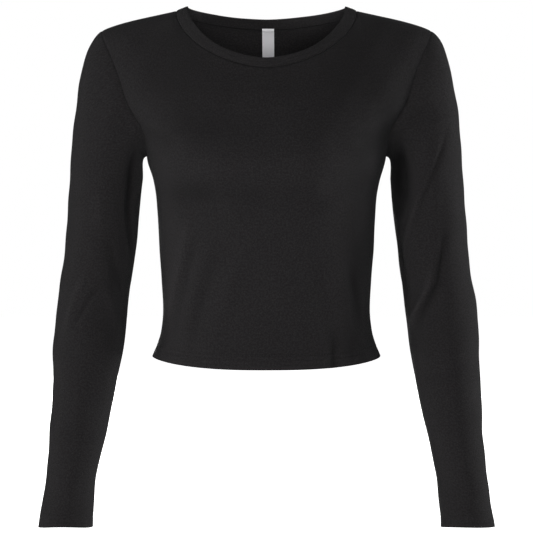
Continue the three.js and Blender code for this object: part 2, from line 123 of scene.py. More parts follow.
# From a to b, leaving and arriving at the given slopes
def easeBetween(a, leave, b, arrive, t):
    return (
        a * (1 + 2 * t) * (1 - t) ** 2
        + leave * t * (1 - t) ** 2
        + b * t * t * (3 - 2 * t)
        + arrive * t * t * (t - 1)
    )


# A smooth line through one column of a table, with no overshoot
def curveThrough(table, along, column):
    xs, ys = np.array(table[along], float), np.array(table[column], float)
    steps = np.diff(ys) / np.diff(xs)
    slopes = np.concatenate([steps[:1], np.zeros(len(steps) - 1), steps[-1:]])
    same = steps[:-1] * steps[1:] > 0
    slopes[1:-1][same] = 2 / (1 / steps[:-1][same] + 1 / steps[1:][same])

    def at(place):
        i = np.clip(np.searchsorted(xs, place, side="right") - 1, 0, len(xs) - 2)
        span = xs[i + 1] - xs[i]
        t = np.clip((place - xs[i]) / span, 0, 1)
        return easeBetween(ys[i], slopes[i] * span, ys[i + 1], slopes[i + 1] * span, t)

    return at


halfAt = curveThrough(torsoWidth, "z", "half")
depthAt = {side: curveThrough(torsoDepth, "z", side) for side in ("front", "back")}
armholeAt = {side: curveThrough(armhole, "z", side) for side in ("front", "back")}
shoulderAt = curveThrough(shoulder, "x", "z")
armAt = {key: curveThrough(arm, "z", key) for key in ("x", "y", "half", "depth")}
facing = {"front": -1.0, "back": 1.0}


def mix(a, b, share):
    return a + (b - a) * share


def smoothStep(value, low, high):
    t = np.clip((value - low) / (high - low), 0, 1)
    return t * t * (3 - 2 * t)


def bump(distance, width):
    return np.exp(-((distance / width) ** 2))


def unit(vectors):
    return vectors / np.linalg.norm(vectors, axis=-1, keepdims=True)


def edgeAt(side, z):
    return np.where(z < body["armpitZ"], halfAt(z), armholeAt[side](z))


def bodyDepth(side, x, z):
    above = np.maximum(0, z - body["armpitZ"])
    spread = armSpread["rate"] * above**2 / (above + armSpread["ease"])
    spread = spread / (1 + above / armSpread["limit"])
    across = np.clip(np.abs(x) / (edgeAt(side, z) + spread), 0, 1)
    power = body["sectionPower"]
    rounded = (1 - across**power) ** (1 / power)
    below = np.clip((shoulderAt(np.abs(x)) - z) / body["shoulderRoundness"], 0, 1)
    turned = np.sqrt(1 - (1 - below) ** 2)
    depth = depthAt[side](z) * rounded
    if side == "front":
        full = bump(np.abs(x) - bust["x"], bust["across"]) * bump(z - bust["z"], bust["high"])
        depth = depth + bust["out"] * full * np.sqrt(rounded)
    return depth * turned


def topEdge(side, u):
    share, width = body["neckShare"], body["neckHalfWidth"]
    onShoulder = mix(width, shoulder["x"][-1], (u - share) / (1 - share))
    turn = (1 - np.clip(1 - u / share, 0, 1) ** body["neckSpacing"]) * math.pi / 2
    power = 2 / body["neckCurve"][side]
    neckX = width * np.sin(turn) ** power
    neckZ = mix(shoulderAt(width), body["neckZ"][side], np.cos(turn) ** power)
    outside = u >= share
    x = np.where(outside, onShoulder, neckX)
    return x, np.where(outside, shoulderAt(np.maximum(x, width)), neckZ)


# A half panel is laid out by u, 0 at the centre and 1 at the side, and by rows from the hem up
def bodyPoint(side, u, row):
    power = body["sectionPower"]
    share = np.sin(u * math.pi / 2) ** (2 / power)
    hem = mix(body["hemZ"][side], body["sideHemZ"], share ** body["hemCurve"])
    armpitRowZ = body["armpitZ"] - body["centreDrop"] * (1 - u**3)
    armpitRow = 1 + body["bodyRows"]
    lowZ = mix(hem + body["hemDepth"], armpitRowZ, (row - 1) / body["bodyRows"])
    lowZ = np.where(row < 1, hem + body["hemDepth"] * row, lowZ)
    v = np.clip((row - armpitRow) / body["armholeRows"], 0, 1)
    fromArmpit = v ** (1 + body["edgeSpacing"] * u**6)
    neckShare = body["neckShare"]
    fromTop = (1 - v) ** (1 + body["edgeSpacing"] * smoothStep(u, 0.3 * neckShare, neckShare))
    rise = fromArmpit / (fromArmpit + fromTop)
    topX, topZ = topEdge(side, u)
    highZ = mix(armpitRowZ, topZ, rise)
    highX = mix(share, topX / edgeAt(side, topZ), rise) * edgeAt(side, highZ)
    low = row <= armpitRow
    x, z = np.where(low, halfAt(lowZ) * share, highX), np.where(low, lowZ, highZ)
    depth = np.where((v >= 1) & (u >= neckShare), 0, bodyDepth(side, x, z))
    return np.stack([x, facing[side] * depth, z], -1)


def gridNormals(grid, closed=False):
    across = np.roll(grid, -1, 1) - np.roll(grid, 1, 1) if closed else np.gradient(grid, axis=1)
    normal = np.cross(across, np.gradient(grid, axis=0))
    return normal / np.maximum(np.linalg.norm(normal, axis=-1, keepdims=True), 1e-9)


# Length along the grid's rows or columns
def arcs(grid, axis):
    steps = np.linalg.norm(np.diff(grid, axis=axis), axis=-1)
    start = np.zeros_like(np.take(steps, [0], axis))
    return np.concatenate([start, np.cumsum(steps, axis)], axis)


# Each fold is its width, its depth and the places that it runs through, across by x or by the
# length round a sleeve. It is steeper on one side, and fades at both ends. The second result
# leaves out the widest folds, and gives painted shade in the creases and painted light on ridges.
def foldDepth(folds, across, along):
    total = np.zeros(np.broadcast(across, along).shape)
    paintedCreaseShading = total.copy()
    for width, depth, *path in folds:
        ends = np.array(path, float)
        lengths = np.linalg.norm(np.diff(ends, axis=0), axis=1)
        nearest, lean, run = np.full(total.shape, 1e9), total * 0, total * 0
        for k, length in enumerate(lengths):
            dx, dz = (ends[k + 1] - ends[k]) / length
            way = (across - ends[k][0]) * dx + (along - ends[k][1]) * dz
            share = np.clip(way / length, 0, 1)
            offX = across - ends[k][0] - share * length * dx
            offZ = along - ends[k][1] - share * length * dz
            away = np.hypot(offX, offZ)
            closer = away < nearest
            nearest = np.where(closer, away, nearest)
            lean = np.where(closer, offX / np.maximum(away, 1e-6), lean)
            run = np.where(closer, (lengths[:k].sum() + share * length) / lengths.sum(), run)
        wide = (0.95 - 0.2 * lean) * width  # narrower where across is larger
        fade = smoothStep(run, -0.08, 0.3) * smoothStep(1 - run, -0.08, 0.3)
        rise = depth * bump(nearest, wide) * fade
        total += rise
        paintedCreaseShading += rise * np.clip(1.6 - width / 9, 0, 1)
    return total, paintedCreaseShading


# Slow unevenness of the cloth, from a few crossing waves
def unevenness(across, along, phase):
    waves = ((71, 113, 0.30), (-52, 89, 0.22), (131, 47, 0.18), (38, -61, 0.10))
    total = 0
    for k, (wide, high, depth) in enumerate(waves):
        total = total + depth * np.sin(2 * math.pi * (across / wide + along / high) + phase + 1.7 * k)
    return total


def evenlyWith(low, high, count, extra=()):
    places = np.concatenate([np.linspace(low, high, count), np.array(extra, float)])
    places = np.unique(np.round(places, 6))
    return places[(places >= low) & (places <= high)]


def rowsAt(places, along, rows):
    return np.stack([np.interp(places, along, rows[:, k]) for k in range(3)], -1)


# The reverse of the jersey is a little paler than its face, and it carries painted light that
# lifts the shaded inside of the garment; together they count as this much more rise
reversePaleAndPaintedLightRise = 4.5


# UVs are lengths along the cloth, and rise sets painted light and painted shade as if folds
# raised or sank the cloth, all in millimetres
def makeCloth(name, points, faces, uv, material, rise=None, sharpAngle=55):
    mesh = bpy.data.meshes.new(name)
    mesh.from_pydata((points / 1000).tolist(), [], faces.tolist())
    mesh.uv_layers.new(name="cloth").data.foreach_set("uv", (uv / 1000).reshape(-1))
    if rise is not None:
        mesh.attributes.new("rise", "FLOAT", "POINT").data.foreach_set("value", rise)
    mesh.materials.append(material)
    mesh.shade_smooth()
    mesh.set_sharp_from_angle(angle=math.radians(sharpAngle))
    return addObject(name, mesh)


# Closed mesh of a sheet from its outer and inner grids of points. A closed one is a tube.
def sheetMesh(name, outer, inner, across, along, material, closed=False, paintedShadingRise=None):
    height, width = outer.shape[:2]
    face = np.arange(height * width).reshape(height, width)
    if closed:
        face = np.concatenate([face, face[:, :1]], 1)
    under = face + height * width
    corners = [
        (face[:-1, :-1], face[:-1, 1:], face[1:, 1:], face[1:, :-1]),
        (under[:-1, :-1], under[1:, :-1], under[1:, 1:], under[:-1, 1:]),
        (under[0, :-1], under[0, 1:], face[0, 1:], face[0, :-1]),
        (face[-1, :-1], face[-1, 1:], under[-1, 1:], under[-1, :-1]),
    ]
    if not closed:
        corners.append((face[:-1, 0], face[1:, 0], under[1:, 0], under[:-1, 0]))
        corners.append((under[:-1, -1], under[1:, -1], face[1:, -1], face[:-1, -1]))
    faces = np.concatenate([np.stack(four, -1).reshape(-1, 4) for four in corners])
    place = faces % (height * width)
    row, col = place // width, place % width
    u = across[row, col]
    if closed:
        # A tube's last column of faces ends on the first column of points, a whole round further on
        wraps = (col.max(1) == width - 1) & (col.min(1) == 0)
        u = np.where(wraps[:, None] & (col == 0), across[row, width], u)
    points = np.concatenate([outer.reshape(-1, 3), inner.reshape(-1, 3)])
    rise = None
    if paintedShadingRise is not None:
        # The inner face gets the reverse's paler tone and its painted light
        rise = np.concatenate([paintedShadingRise.reshape(-1), paintedShadingRise.reshape(-1) + reversePaleAndPaintedLightRise])
    return makeCloth(name, points, faces, np.stack([u, along[row, col]], -1), material, rise)


print("stage: materials")


# A number or colour sets an input, and the output of another node is linked to it
def feed(tree, node, inputs):
    for key, value in inputs.items():
        if isinstance(value, bpy.types.NodeSocket):
            tree.links.new(value, node.inputs[key])
        else:
            node.inputs[key].default_value = value


def addNode(tree, kind, inputs=None, **settings):
    node = tree.nodes.new(kind)
    for key, value in settings.items():
        setattr(node, key, value)
    feed(tree, node, inputs or {})
    return node


def calc(tree, operation, *values):
    return addNode(tree, "ShaderNodeMath", dict(enumerate(values)), operation=operation).outputs[0]


def vectorCalc(tree, operation, inputs, output=0):
    return addNode(tree, "ShaderNodeVectorMath", inputs, operation=operation).outputs[output]


def mapped(tree, value, low, high, start=0, end=1):
    limits = {"From Min": low, "From Max": high, "To Min": start, "To Max": end}
    return addNode(tree, "ShaderNodeMapRange", {"Value": value, **limits}).outputs["Result"]


# A value from 0 to 1 becomes one that swings evenly about 0
def swing(tree, value, amount):
    return calc(tree, "MULTIPLY", calc(tree, "SUBTRACT", value, 0.5), amount)


def mixColour(tree, share, a, b):
    a, b = ((*colour, 1) if isinstance(colour, tuple) else colour for colour in (a, b))
    return addNode(tree, "ShaderNodeMix", {0: share, 6: a, 7: b}, data_type="RGBA").outputs[2]


def bumped(tree, height, depth, strength=1):
    inputs = {"Height": height, "Distance": depth, "Strength": strength}
    return addNode(tree, "ShaderNodeBump", inputs).outputs["Normal"]


def noise(tree, vector, scale, detail):
    inputs = {"Vector": vector, "Scale": scale, "Detail": detail}
    return addNode(tree, "ShaderNodeTexNoise", inputs).outputs["Fac"]


def clothPlace(tree):
    return addNode(tree, "ShaderNodeUVMap", uv_map="cloth").outputs["UV"]


def objectPlace(tree):
    return addNode(tree, "ShaderNodeTexCoord").outputs["Object"]


def splitPlace(tree, vector):
    return addNode(tree, "ShaderNodeSeparateXYZ", {0: vector}).outputs[:2]


# Inputs are numbers, or places where no number is given. Outputs are numbers.
def makeGroup(name, inputs, outputs):
    group = bpy.data.node_groups.new(name, "ShaderNodeTree")
    for label, value in inputs.items():
        kind = "NodeSocketVector" if value is None else "NodeSocketFloat"
        socket = group.interface.new_socket(label, in_out="INPUT", socket_type=kind)
        if value is not None:
            socket.default_value = value
    for label in outputs:
        group.interface.new_socket(label, in_out="OUTPUT", socket_type="NodeSocketFloat")
    given = group.nodes.new("NodeGroupInput").outputs
    return group, given, group.nodes.new("NodeGroupOutput")


# Plain knit: columns of stitches, each two slanting legs that form a V
def makeKnitGroup():
    sizes = {"Cloth": None, "Wale": 0.0011, "Course": 0.0008, "Slant": 1.1}
    group, given, made = makeGroup("knit", sizes, ("Height", "Gap"))
    across, along = splitPlace(group, given["Cloth"])
    do = partial(calc, group)
    shift = swing(group, noise(group, given["Cloth"], 260, 1), 0.35)
    wale = do("ADD", do("DIVIDE", across, given["Wale"]), shift)
    side = do("ABSOLUTE", do("SUBTRACT", do("FRACT", wale), 0.5))
    leg = do("SINE", do("MULTIPLY", side, 2 * math.pi))
    course = do("ADD", do("DIVIDE", along, given["Course"]), do("MULTIPLY", side, given["Slant"]))
    loop = do("ABSOLUTE", do("SINE", do("MULTIPLY", course, math.pi)))
    height = do("MULTIPLY", leg, do("MULTIPLY_ADD", loop, 0.5, 0.5))
    feed(group, made, {"Height": height, "Gap": do("SUBTRACT", 1.0, height)})
    return group


# Uneven dye and yarn: a slow shade, streaks along the courses, mottle, and fine pale fibres
def makeFibreGroup():
    places = {"Place": None, "Cloth": None}
    sizes = {**places, "Patch Size": 14.0, "Mottle Size": 430.0, "Fleck Size": 900.0}
    group, given, made = makeGroup("fibre", sizes, ("Shade", "Streak", "Mottle", "Fleck"))
    drawn = vectorCalc(group, "MULTIPLY", {0: given["Cloth"], 1: (45, 640, 1)})
    fleck = noise(group, given["Place"], given["Fleck Size"], 2)
    feed(group, made, {
        "Shade": noise(group, given["Place"], given["Patch Size"], 3),
        "Streak": noise(group, drawn, 1, 2),
        "Mottle": noise(group, given["Cloth"], given["Mottle Size"], 1),
        "Fleck": mapped(group, fleck, 0.55, 0.75),
    })
    return group


groups = {"knit": makeKnitGroup(), "fibre": makeFibreGroup()}


def addGroup(tree, name, inputs):
    return addNode(tree, "ShaderNodeGroup", inputs, node_tree=groups[name]).outputs


def newMaterial(name):
    material = bpy.data.materials.new(name)
    material.use_nodes = True
    return material, material.node_tree, material.node_tree.nodes["Principled BSDF"]


jerseyLook = {
    "colour": (0.0150, 0.0138, 0.0145),
    "gapPaintedShadeColour": (0.0062, 0.0057, 0.0060),
    "wornColour": (0.0228, 0.0214, 0.0221),
    "fleckColour": (0.050, 0.048, 0.050),
    "wale": 0.0014,
    "course": 0.0011,
    "streak": 1.4,
    "mottle": 15.0,
    "gap": 0.8,
    "fleck": 0.34,
    "paintedShading": 0.10,  # change in painted shade and painted light for each millimetre of rise
    "tones": (0.15, 1.5),  # the deepest painted shade and the palest painted light that it can make
    "bumpDepth": 0.0003,
    "bumpStrength": 0.8,
    "roughness": 0.83,
    "patchRoughness": 0.14,
    "sheen": 0.06,
    "sheenRoughness": 0.45,
    "sheenTint": (0.55, 0.55, 0.57, 1),
    "specular": 0.12,
}
bandLook = {**jerseyLook, "colour": (0.0160, 0.0148, 0.0155), "wale": 0.0012}


def makeJersey(name, look):
    material, tree, shader = newMaterial(name)
    cloth = clothPlace(tree)
    knit = addGroup(tree, "knit", {"Cloth": cloth, "Wale": look["wale"], "Course": look["course"]})
    fibre = addGroup(tree, "fibre", {"Place": objectPlace(tree), "Cloth": cloth})
    drawn = swing(tree, fibre["Streak"], look["streak"])
    mottled = swing(tree, fibre["Mottle"], look["mottle"])
    worn = calc(tree, "ADD", fibre["Shade"], calc(tree, "ADD", drawn, mottled))
    shaded = mixColour(tree, worn, look["colour"], look["wornColour"])
    # The gaps between the knit's loops get painted shade
    gap = calc(tree, "MULTIPLY", knit["Gap"], look["gap"])
    gapped = mixColour(tree, gap, shaded, look["gapPaintedShadeColour"])
    share = calc(tree, "MULTIPLY", fibre["Fleck"], look["fleck"])
    flecked = mixColour(tree, share, gapped, look["fleckColour"])
    # Painted light on ridges and painted shade down in creases and seam grooves, both from the rise
    rise = addNode(tree, "ShaderNodeAttribute", attribute_name="rise").outputs["Fac"]
    paintedShading = calc(tree, "MULTIPLY_ADD", rise, look["paintedShading"], 1.0)
    deepest, palest = look["tones"]
    paintedShading = calc(tree, "MAXIMUM", calc(tree, "MINIMUM", paintedShading, palest), deepest)
    rough = calc(tree, "MULTIPLY_ADD", fibre["Shade"], look["patchRoughness"], look["roughness"])
    feed(tree, shader, {
        "Base Color": vectorCalc(tree, "SCALE", {0: flecked, "Scale": paintedShading}),
        "Roughness": rough,
        "Normal": bumped(tree, knit["Height"], look["bumpDepth"], look["bumpStrength"]),
        "Sheen Weight": look["sheen"],
        "Sheen Roughness": look["sheenRoughness"],
        "Sheen Tint": look["sheenTint"],
        "Specular IOR Level": look["specular"],
    })
    return material


threadLook = {
    "colour": (0.0130, 0.0122, 0.0127),
    "pale": 1.6,
    "bumpDepth": 0.0001,
    "roughness": 0.75,
    "sheen": 0.05,
    "specular": 0.15,
}


def makeThread(look):
    material, tree, shader = newMaterial("thread")
    fleck = addGroup(tree, "fibre", {"Place": objectPlace(tree)})["Fleck"]
    pale = tuple(look["pale"] * c for c in look["colour"])
    feed(tree, shader, {
        "Base Color": mixColour(tree, fleck, look["colour"], pale),
        "Normal": bumped(tree, fleck, look["bumpDepth"]),
        "Roughness": look["roughness"],
        "Sheen Weight": look["sheen"],
        "Specular IOR Level": look["specular"],
    })
    return material


satinLook = {
    "colour": (0.96, 0.95, 0.98),
    "darker": 0.85,
    "shade": 0.12,
    "weft": 0.00028,
    "warp": 0.00045,
    "bumpDepth": 0.00005,
    "roughness": 0.38,
    "sheen": 0.5,
}


def makeSatin(look):
    material, tree, shader = newMaterial("satin")
    waves = [
        calc(tree, "SINE", calc(tree, "MULTIPLY", place, 2 * math.pi / look[yarn]))
        for place, yarn in zip(splitPlace(tree, clothPlace(tree)), ("warp", "weft"))
    ]
    weave = calc(tree, "MULTIPLY_ADD", calc(tree, "MULTIPLY", *waves), 0.5, 0.5)
    darker = tuple(look["darker"] * c for c in look["colour"])
    shade = calc(tree, "MULTIPLY", weave, look["shade"])
    feed(tree, shader, {
        "Base Color": mixColour(tree, shade, look["colour"], darker),
        "Normal": bumped(tree, weave, look["bumpDepth"]),
        "Roughness": look["roughness"],
        "Sheen Weight": look["sheen"],
    })
    return material


materials = {
    "jersey": makeJersey("jersey", jerseyLook),
    "band": makeJersey("neck_jersey", bandLook),
    "thread": makeThread(threadLook),
    "satin": makeSatin(satinLook),
}

print("stage: body")

clothThickness = 1.5
hemThickness = 2.6
gridRounds = 2  # of smoothing of each cloth's grid of points

# A dent is how deep the cloth sinks, and how much rise the painted shade in its groove counts for
seam = {
    "width": 1.2,
    "dentAndPaintedShade": (0.5, 0.2),
    "neckWidth": 1.5,
    "neckDentAndPaintedShade": (0.7, 3.5),
    "calm": 25,  # how far from a seam the slow waves of the cloth begin
}
hemStitch = {"rows": (12.0, 18.0), "width": 0.9, "dentAndPaintedShade": (0.4, 1.6), "pale": 0.6}
cuffStitch = {"rows": (12.5, 16.5), "width": 0.9, "dentAndPaintedShade": (0.3, 0)}

# Folds as width, depth and then x, z places. A negative depth is a trough.
frontFolds = [
    # long soft folds that run out from under the bust to the side of the hem
    (6.5, 2.6, (-93, -258), (-102, -302), (-113, -345), (-123, -392)),
    (7, -1.5, (-82, -276), (-95, -325), (-106, -372), (-112, -415)),
    (9, 0.9, (-68, -280), (-80, -318), (-94, -368), (-104, -418)),
    (8, -1.6, (-56, -290), (-66, -322), (-78, -362), (-88, -404), (-92, -430)),
    (11, 1.5, (-28, -292), (-44, -334), (-60, -384), (-72, -440)),
    # at the other side
    (9, 1.2, (86, -290), (95, -350), (103, -405)),
    (6, -1.8, (101, -320), (108, -355), (116, -404)),
    (8, -0.9, (58, -302), (68, -350), (76, -400)),
    (7, 1.0, (72, -380), (74, -412), (75, -470)),
    (7, -3.6, (79, -394), (82, -415), (83, -480)),
    (5, -1.3, (102, -400), (105, -425), (108, -470)),
    # above and under the bust
    (20, -3.0, (-110, -136), (-60, -142), (-10, -142)),
    (17, 2.2, (-124, -194), (-30, -196), (104, -196)),
    (15, -4.6, (-120, -234), (-84, -240), (-44, -240)),
    (16, -2.6, (-64, -242), (0, -244), (80, -240)),
    (16, -3.6, (60, -226), (98, -219), (134, -212)),
    # pulled towards the armpits
    (9, -2.2, (-156, -146), (-130, -162), (-104, -170)),
    (15, -3.2, (162, -138), (134, -160), (104, -174)),
]
# Patches of painted light and painted shade: paler on the bust, waist and lower left, deeper on the
# upper chest, under the bust, at the shoulders, the armpit and the right side: the place across and
# its z, the reach each way, and the share
frontPaintedShading = [
    (0, -195, 150, 17, 0.06),
    (-76, -146, 50, 26, -0.20),
    (40, -140, 90, 34, -0.08),
    (0, -96, 130, 34, -0.08),
    (-135, -80, 60, 60, -0.14),
    (135, -80, 60, 70, -0.24),
    (-92, -227, 26, 15, -0.32),
    (-22, -232, 60, 13, -0.10),
    (102, -210, 26, 11, -0.12),
    (0, -330, 60, 90, 0.04),
    (156, -160, 15, 36, -0.6),
    (122, -178, 30, 34, -0.16),
    (-118, -330, 16, 90, 0.12),
    (-104, -425, 40, 26, 0.10),
    (113, -315, 16, 90, -0.45),
]
# Patches of painted light and painted shade on the back, in the same columns
backPaintedShading = [
    (0, -120, 90, 60, 0.05),
    (0, -330, 60, 40, -0.08),
    (-70, -400, 60, 30, 0.04),
]
bodyPaintedShading = {"front": frontPaintedShading, "back": backPaintedShading}

backFolds = [
    (9, -3.6, (-104, -300), (-60, -330), (-14, -352)),
    (9, 2.4, (-100, -320), (-60, -350), (-30, -364)),
    (9, -3.2, (98, -318), (50, -350), (4, -368)),
    (8, 2.2, (96, -340), (60, -366), (26, -384)),
    (8, -2.6, (-120, -352), (-84, -378), (-44, -394)),
    (8, -2.6, (92, -286), (106, -336), (118, -386)),
    (8, -2.2, (-92, -256), (-106, -300), (-116, -345)),
    (7, -1.9, (-66, -376), (-76, -420), (-81, -470)),
    (6, -1.2, (50, -404), (57, -428), (60, -470)),
    (9, -3.4, (134, -136), (112, -190), (94, -250)),
    (9, -3.6, (-136, -134), (-114, -188), (-94, -248)),
    (8, 2.2, (118, -160), (98, -212), (84, -262)),
    (8, 2.2, (-118, -158), (-100, -210), (-86, -258)),
    (12, -1.6, (-60, -70), (0, -84), (60, -72)),
]
bodyFolds = {"front": frontFolds, "back": backFolds}

armpitRow = 1 + body["bodyRows"]
topRow = armpitRow + body["armholeRows"]
panelColumns = 76
edgeSteps = np.array((0.5, 1.1, 1.9, 3.0, 4.6))


def nearPlaces(places, reach):
    return [p + d * reach for p in places for d in (-2, -1, -0.5, 0, 0.5, 1, 2)]


def relax(grid, closed=False):
    for _ in range(gridRounds):
        smooth = grid.copy()
        if closed:
            beside = np.roll(grid, 1, 1) + np.roll(grid, -1, 1)
            smooth[1:-1] = (2 * grid[1:-1] + beside[1:-1] + grid[2:] + grid[:-2]) / 6
        else:
            beside = grid[1:-1, 2:] + grid[1:-1, :-2] + grid[2:, 1:-1] + grid[:-2, 1:-1]
            smooth[1:-1, 1:-1] = (2 * grid[1:-1, 1:-1] + beside) / 6
        grid = smooth
    return grid


def bodyLines():
    u = evenlyWith(0, 1, panelColumns, [*(1 - edgeSteps / 150), body["neckShare"]])
    hemPlaces = nearPlaces(hemStitch["rows"], 0.9) + [0, 0.5, 1.2, 2.4, 4, 6, 8, 9.5]
    hem = np.array([p for p in hemPlaces if 0 <= p <= body["hemDepth"]]) / body["hemDepth"]
    above = np.array((1.03, 1.06, 1.12, 1.2))
    low, high = np.linspace(1.3, armpitRow, 104), np.linspace(armpitRow + 0.1, topRow - 0.5, 104)
    rows = np.concatenate([hem, above, low, high, topRow - edgeSteps / 15, [topRow]])
    return np.concatenate([-u[:0:-1], u]), np.unique(np.round(rows, 6))


# The armhole seam by angle round the sleeve: 0 at the shoulder, 180 at the armpit, over the front
def armholeSeam(angle):
    share = np.where(angle <= 180, angle, 360 - angle) / 180
    row = topRow - body["armholeRows"] * share

    def seamAt(u):
        front, back = (bodyPoint(side, np.full_like(row, u), row) for side in ("front", "back"))
        return np.where((angle <= 180)[:, None], front, back)

    places = seamAt(1)
    along = np.roll(places, -1, 0) - np.roll(places, 1, 0)
    normal = np.cross(along, seamAt(1 - 0.012) - places)
    normal[np.isin(angle, (0, 180)), 1] = 0
    return places, unit(normal)


def sleevePoint(angle, z):
    slope = (armAt["y"](z + 8) - armAt["y"](z - 8)) / 16
    turn = np.radians(angle)
    y = -armAt["depth"](z) * np.sin(turn)
    x = armAt["x"](z) + armAt["half"](z) * np.cos(turn)
    return np.stack([x, armAt["y"](z) + y, z - slope * y], -1)


# The cap of the sleeve, from the armhole seam to the first z of the arm's own table
def capGrid(angle, t, places):
    turn = np.radians(angle)
    end = sleevePoint(angle, np.full_like(angle, arm["z"][-1]))
    reach = np.linalg.norm(end - places, axis=-1, keepdims=True)
    fall = cap["fallTop"] * (1 + np.cos(turn)) + cap["fallFront"] * np.sin(turn) ** 2
    leave = np.stack([np.ones_like(turn), -cap["forward"] * np.sin(turn), -fall], -1)
    leave *= (cap["reach"] * reach + cap["spring"]) / np.linalg.norm(leave, axis=-1, keepdims=True)
    return easeBetween(places, leave, end, capArrival * reach, t[:, None, None])


sleeveAngles = evenlyWith(0, 360, 145, [180 + s * d / 0.78 for d in edgeSteps for s in (-1, 1)])[:-1]
capPlaces, bodyNormal = armholeSeam(sleeveAngles)
capStart = capGrid(sleeveAngles, np.array((0, 0.01, 0.02)), capPlaces)
sleeveNormal = gridNormals(capStart, True)[0]
between = unit(bodyNormal + sleeveNormal)
# The cloth of both pieces ends on one mitred face at the armhole
mitre = -clothThickness * between / np.maximum(0.6, (between * sleeveNormal).sum(-1, keepdims=True))


def mitreAt(angle):
    angles = np.concatenate([sleeveAngles, [360]])
    ends = np.concatenate([mitre, mitre[:1]])
    return rowsAt(angle, angles, ends)


# Patches of painted light and painted shade, given as rise
def paintedShadingAt(spots, across, along):
    total = 0
    for a, z, wide, high, share in spots:
        total = total + share * bump(across - a, wide) * bump(along - z, high)
    return total / jerseyLook["paintedShading"]


# Depth and painted shading rise, with a dent and its painted shade taken out of both
def dented(depth, paintedShadingRise, dentAndPaintedShade, share):
    return depth - dentAndPaintedShade[0] * share, paintedShadingRise - dentAndPaintedShade[1] * share


def makePanel(side):
    u, rows = bodyLines()
    if side == "back":
        u = -u
    grid = bodyPoint(side, np.abs(u)[None, :], rows[:, None])
    grid[..., 0] *= np.where(u < 0, -1, 1)
    grid = relax(grid)
    x, z, normals = grid[..., 0], grid[..., 2], gridNormals(grid)
    fromHem, acrossArc = arcs(grid, 0), arcs(grid, 1)
    fromTop = fromHem[-1:] - fromHem
    fromSide = np.minimum(acrossArc, acrossArc[:, -1:] - acrossArc)
    sideShare = np.minimum(np.arange(len(u)), np.arange(len(u))[::-1]) / (len(u) / 2)
    calm = smoothStep(sideShare, 0, 0.2)
    # Folds shape the cloth, and their second result is painted shade in creases and painted light on
    # ridges
    depth, paintedShadingRise = (part * calm for part in foldDepth(bodyFolds[side], x, z))
    paintedShadingRise = paintedShadingRise + paintedShadingAt(bodyPaintedShading[side], x, z)
    calm = smoothStep(fromSide, 0, seam["calm"]) * smoothStep(fromTop, 0, seam["calm"])
    depth = depth + unevenness(x, z, {"front": 0.4, "back": 2.1}[side]) * calm
    # Seams, the neck seam and the hem's stitch rows sink, with painted shade in their grooves
    sewn = np.maximum(bump(fromSide, seam["width"]), bump(fromTop, seam["width"]))
    depth, paintedShadingRise = dented(depth, paintedShadingRise, seam["dentAndPaintedShade"], sewn)
    banded = bump(fromTop, seam["neckWidth"]) * (np.abs(u) < body["neckShare"])
    depth, paintedShadingRise = dented(depth, paintedShadingRise, seam["neckDentAndPaintedShade"], banded)
    paintedShadingRise = paintedShadingRise + hemStitch["pale"] * smoothStep(hemStitch["rows"][1] - fromHem, 0, 3)
    for place in hemStitch["rows"]:
        line = bump(fromHem - place, hemStitch["width"])
        depth, paintedShadingRise = dented(depth, paintedShadingRise, hemStitch["dentAndPaintedShade"], line)
    outer = grid + normals * depth[..., None]
    inHem = fromHem < body["hemDepth"] + 0.2
    inner = outer - normals * np.where(inHem, hemThickness, clothThickness)[..., None]
    # Front and back meet at y 0 along the side and shoulder seams, and meet the sleeves on the mitre
    beside = rows > armpitRow
    angle = 180 * (topRow - rows[beside]) / body["armholeRows"]
    end = mitreAt(angle if side == "front" else 360 - angle)
    for column in (0, -1):
        outer[~beside, column, 1] = inner[~beside, column, 1] = 0
        mirrored = end.copy()
        mirrored[:, 0] *= np.sign(outer[beside, column, 0])
        inner[beside, column] = outer[beside, column] + mirrored
    for sheet in (outer, inner):
        sheet[-1, np.abs(u) >= body["neckShare"], 1] = 0
    across = acrossArc - acrossArc[:, len(u) // 2, None]
    cloth = materials["jersey"]
    obj = sheetMesh(f"cloth_{side}", outer, inner, across, fromHem, cloth, paintedShadingRise=paintedShadingRise)
    return obj, outer, normals, fromHem


panels = {side: makePanel(side) for side in ("front", "back")}

print("stage: sleeves")

# Folds of the sleeves as width, depth and then degrees round and z
leftFolds = [
    # under the armpit
    (13, -8.0, (150, -172), (126, -152), (98, -134), (70, -122)),
    (17, -10.0, (136, -144), (142, -190), (148, -232), (158, -262)),
    # long crease down the upper arm, with a ridge beside its lower end
    (3.2, -1.9, (54, -150), (66, -176), (82, -204), (108, -247), (124, -278)),
    (3.6, 2.4, (104, -222), (124, -258), (143, -292), (160, -330)),
    (8, -1.2, (66, -222), (74, -262), (76, -300)),
    # crease and ridge at the elbow
    (4.2, -4.2, (72, -278), (80, -308), (93, -340), (120, -368), (144, -398)),
    (4.6, 3.8, (98, -322), (112, -347), (135, -372), (164, -406)),
    (6, -2.6, (158, -286), (164, -376)),
    (8, -0.8, (60, -440), (100, -456), (140, -462)),
    # behind
    (7, -4.0, (196, -296), (232, -314), (272, -330)),
    (7, 3.0, (196, -318), (236, -338), (280, -350)),
    (6, -4.0, (192, -346), (230, -360), (266, -366)),
    (7, -2.6, (198, -386), (226, -398), (258, -404)),
    (7, -3.0, (224, -160), (246, -206), (266, -248)),
    (7, -2.8, (282, -122), (252, -146), (226, -166)),
    (8, -1.6, (200, -496), (250, -508), (296, -512)),
]
